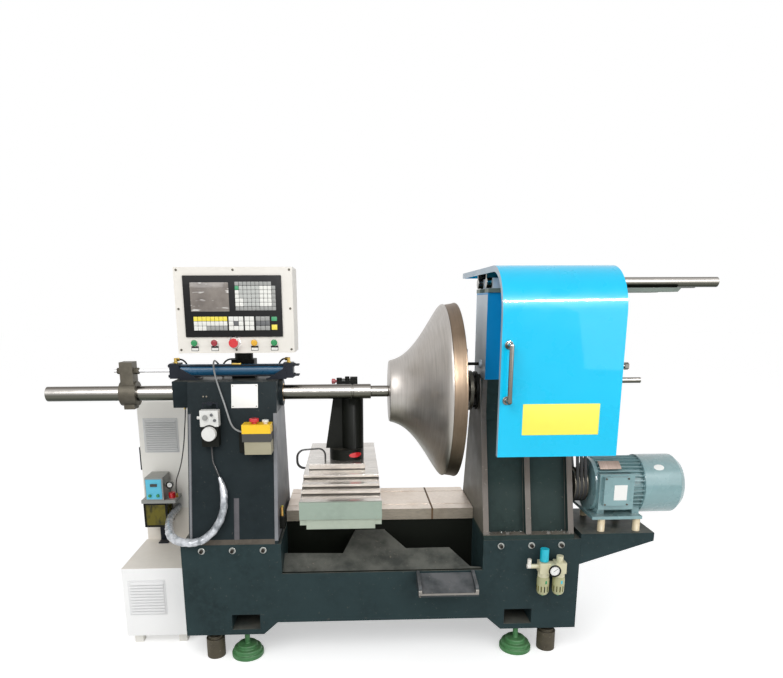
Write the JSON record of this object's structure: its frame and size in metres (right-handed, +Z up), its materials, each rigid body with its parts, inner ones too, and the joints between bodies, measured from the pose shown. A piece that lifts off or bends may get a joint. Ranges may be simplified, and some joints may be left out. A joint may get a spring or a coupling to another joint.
{
  "type": "metal spinning lathe",
  "caption": "Metal spinning lathe with a bell mandrel, air-fed quill, cross-slide tool post, sliding guard, belt drive and control box",
  "frame": {"origin": "on the floor, under the middle of the machine's extents", "axes": "+X along the spindle from the tailstock to the headstock, +Y away from the operator, +Z up"},
  "size_m": [3.0066, 1.068, 1.751],
  "materials": {
    "bed_paint": "hammer paint",
    "steel": "ground",
    "pan_sheet": "worn",
    "tray_paint": "worn",
    "rusty_steel": "rusty",
    "green_rubber": "matte",
    "way_steel": "dusty ground steel",
    "bronze": "turned",
    "barrel_blue": "anodised",
    "black_metal": "satin",
    "spun_steel": "turned",
    "belt_rubber": "matte",
    "cast_dark": "machined",
    "guard_blue": "gloss",
    "housing_blue": "satin",
    "light_grey": "satin",
    "chrome": "polished",
    "motor_green": "gloss",
    "saddle_steel": "dusty",
    "box_white": "powder coat",
    "face_black": "gloss",
    "key_green": "gloss",
    "key_red": "gloss",
    "key_yellow": "gloss",
    "key_white": "gloss",
    "station_yellow": "gloss",
    "pendant_white": "matte",
    "cabinet_cream": "powder coat",
    "lube_grey": "satin",
    "air_cream": "cast",
    "knob_blue": "gloss",
    "cable_black": "matte",
    "conduit_wrap": "film wrap",
    "cable_pale": "matte"
  },
  "bodies": {
    "base": {"bed": "bed_paint", "chip_pan": "pan_sheet", "front_tray": "tray_paint", "levelling_jacks": "rusty_steel", "rubber_pads": "green_rubber", "slideway": "way_steel", "tailstock_column": "bed_paint", "tailstock_head": "bed_paint", "quill_bushes": "bronze", "cylinder_barrel": "barrel_blue", "cylinder_caps": "black_metal", "headstock_column": "bed_paint", "spindle_bearings": "cast_dark", "drive_belts": "belt_rubber", "upper_housing": "housing_blue", "housing_end_plate": "light_grey", "guard_beams": "bed_paint", "guard_bearings": "light_grey", "motor_shelf": "bed_paint", "motor_body": "motor_green", "motor_cowl": "motor_green", "control_stand": "black_metal", "station_box": "station_yellow", "pendant": "pendant_white", "cabinet": "cabinet_cream", "lubricator": "lube_grey", "air_unit": "air_cream", "pendant_cable": "cable_black", "wrapped_conduit": "conduit_wrap", "panel_cable": "cable_pale"},
    "quill": {"quill": "steel", "quill_yoke": "cast_dark", "piston_rod": "chrome"},
    "pressure_pad": {"pressure_pad": "steel"},
    "spindle": {"spindle": "steel", "mandrel": "spun_steel", "spindle_pulley": "cast_dark"},
    "rotor": {"motor_rotor": "cast_dark"},
    "lever": {"lock_lever": "black_metal"},
    "guard": {"guard_shell": "guard_blue", "guide_shafts": "chrome", "guard_handle": "chrome"},
    "saddle": {"saddle": "saddle_steel"},
    "long_screw": {"long_screw": "steel"},
    "cross_slide": {"cross_slide": "saddle_steel"},
    "cross_screw": {"cross_screw": "steel"},
    "tool_post": {"tool_post": "bed_paint"},
    "roller": {"tool_roller": "steel"},
    "control_box": {"control_box": "box_white", "control_face": "face_black"},
    "start_button": {"start_button": "key_green"},
    "stop_button": {"stop_button": "key_red"},
    "panic_button": {"panic_button": "key_red"},
    "pause_button": {"pause_button": "key_yellow"},
    "clamp_button": {"clamp_button": "key_green"},
    "station_stop": {"station_stop": "key_red"},
    "station_reset": {"station_reset": "key_white"},
    "pendant_dial": {"pendant_dial": "key_white"},
    "cabinet_door": {"cabinet_door": "cabinet_cream"},
    "air_knob": {"air_knob": "knob_blue"}
  },
  "joints": [
    {"name": "quill_slide", "type": "slide", "parent": "base", "child": "quill", "axis": [-1, 0, 0], "range_m": [0, 0.28]},
    {"name": "pad_spin", "type": "hinge", "parent": "quill", "child": "pressure_pad", "pos_m": [0.05625, -0.026, 1.198], "axis": [1, 0, 0], "continuous": true},
    {"name": "spindle_spin", "type": "hinge", "parent": "base", "child": "spindle", "pos_m": [0.05625, -0.026, 1.198], "axis": [1, 0, 0], "continuous": true},
    {"name": "rotor_spin", "type": "hinge", "parent": "base", "child": "rotor", "pos_m": [1.01425, -0.161, 0.777], "axis": [1, 0, 0], "continuous": true},
    {"name": "lever_turn", "type": "hinge", "parent": "base", "child": "lever", "pos_m": [0.46425, -0.052, 1.324], "axis": [-1, 0, 0], "range_deg": [0, 75]},
    {"name": "guard_slide", "type": "slide", "parent": "base", "child": "guard", "axis": [-1, 0, 0], "range_m": [0, 0.46]},
    {"name": "saddle_slide", "type": "slide", "parent": "base", "child": "saddle", "axis": [1, 0, 0], "range_m": [-0.06, 0.055]},
    {"name": "long_screw_turn", "type": "hinge", "parent": "base", "child": "long_screw", "pos_m": [0.01425, 0.303, 0.603], "axis": [1, 0, 0], "range_deg": [-4400, 4400]},
    {"name": "cross_slide_move", "type": "slide", "parent": "saddle", "child": "cross_slide", "axis": [0, 1, 0], "range_m": [-0.015, 0.19]},
    {"name": "cross_screw_turn", "type": "hinge", "parent": "saddle", "child": "cross_screw", "pos_m": [-0.16875, -0.026, 0.712], "axis": [0, 1, 0], "range_deg": [-14000, 14000]},
    {"name": "tool_post_turn", "type": "hinge", "parent": "cross_slide", "child": "tool_post", "pos_m": [-0.14375, 0.084, 0.8563], "axis": [0, 0, 1], "range_deg": [-8, 45]},
    {"name": "roller_spin", "type": "hinge", "parent": "tool_post", "child": "roller", "pos_m": [-0.04775, 0.092, 1.188], "axis": [0, 1, 0], "continuous": true},
    {"name": "control_box_swivel", "type": "hinge", "parent": "base", "child": "control_box", "pos_m": [-0.61775, 0.052, 1.38], "axis": [0, 0, 1], "range_deg": [-30, 30]},
    {"name": "start_button_press", "type": "slide", "parent": "control_box", "child": "start_button", "axis": [0, 1, 0], "range_m": [0, 0.004], "stiffness_N_per_m": 250, "springref_m": -0.001},
    {"name": "stop_button_press", "type": "slide", "parent": "control_box", "child": "stop_button", "axis": [0, 1, 0], "range_m": [0, 0.004], "stiffness_N_per_m": 250, "springref_m": -0.001},
    {"name": "panic_button_press", "type": "slide", "parent": "control_box", "child": "panic_button", "axis": [0, 1, 0], "range_m": [0, 0.004], "stiffness_N_per_m": 250, "springref_m": -0.001},
    {"name": "pause_button_press", "type": "slide", "parent": "control_box", "child": "pause_button", "axis": [0, 1, 0], "range_m": [0, 0.004], "stiffness_N_per_m": 250, "springref_m": -0.001},
    {"name": "clamp_button_press", "type": "slide", "parent": "control_box", "child": "clamp_button", "axis": [0, 1, 0], "range_m": [0, 0.004], "stiffness_N_per_m": 250, "springref_m": -0.001},
    {"name": "station_stop_press", "type": "slide", "parent": "base", "child": "station_stop", "axis": [0, 0, -1], "range_m": [0, 0.004], "stiffness_N_per_m": 400, "springref_m": -0.004},
    {"name": "station_reset_press", "type": "slide", "parent": "base", "child": "station_reset", "axis": [0, 0, -1], "range_m": [0, 0.004], "stiffness_N_per_m": 400, "springref_m": -0.004},
    {"name": "dial_turn", "type": "hinge", "parent": "base", "child": "pendant_dial", "pos_m": [-0.72775, -0.25458, 1.054], "axis": [0, 1, 0], "continuous": true},
    {"name": "door_hinge", "type": "hinge", "parent": "base", "child": "cabinet_door", "pos_m": [-1.20275, 0.514, 0.7], "axis": [0, 0, -1], "range_deg": [0, 100]},
    {"name": "air_knob_turn", "type": "hinge", "parent": "base", "child": "air_knob", "pos_m": [0.73025, -0.344, 0.5], "axis": [0, 0, 1], "range_deg": [-360, 360]}
  ],
  "couplings": [
    {"joint": "rotor_spin", "follows": "spindle_spin", "ratio": 1.6},
    {"joint": "long_screw_turn", "follows": "saddle_slide", "rad_per_m": 628.32},
    {"joint": "cross_screw_turn", "follows": "cross_slide_move", "rad_per_m": 628.32}
  ]
}
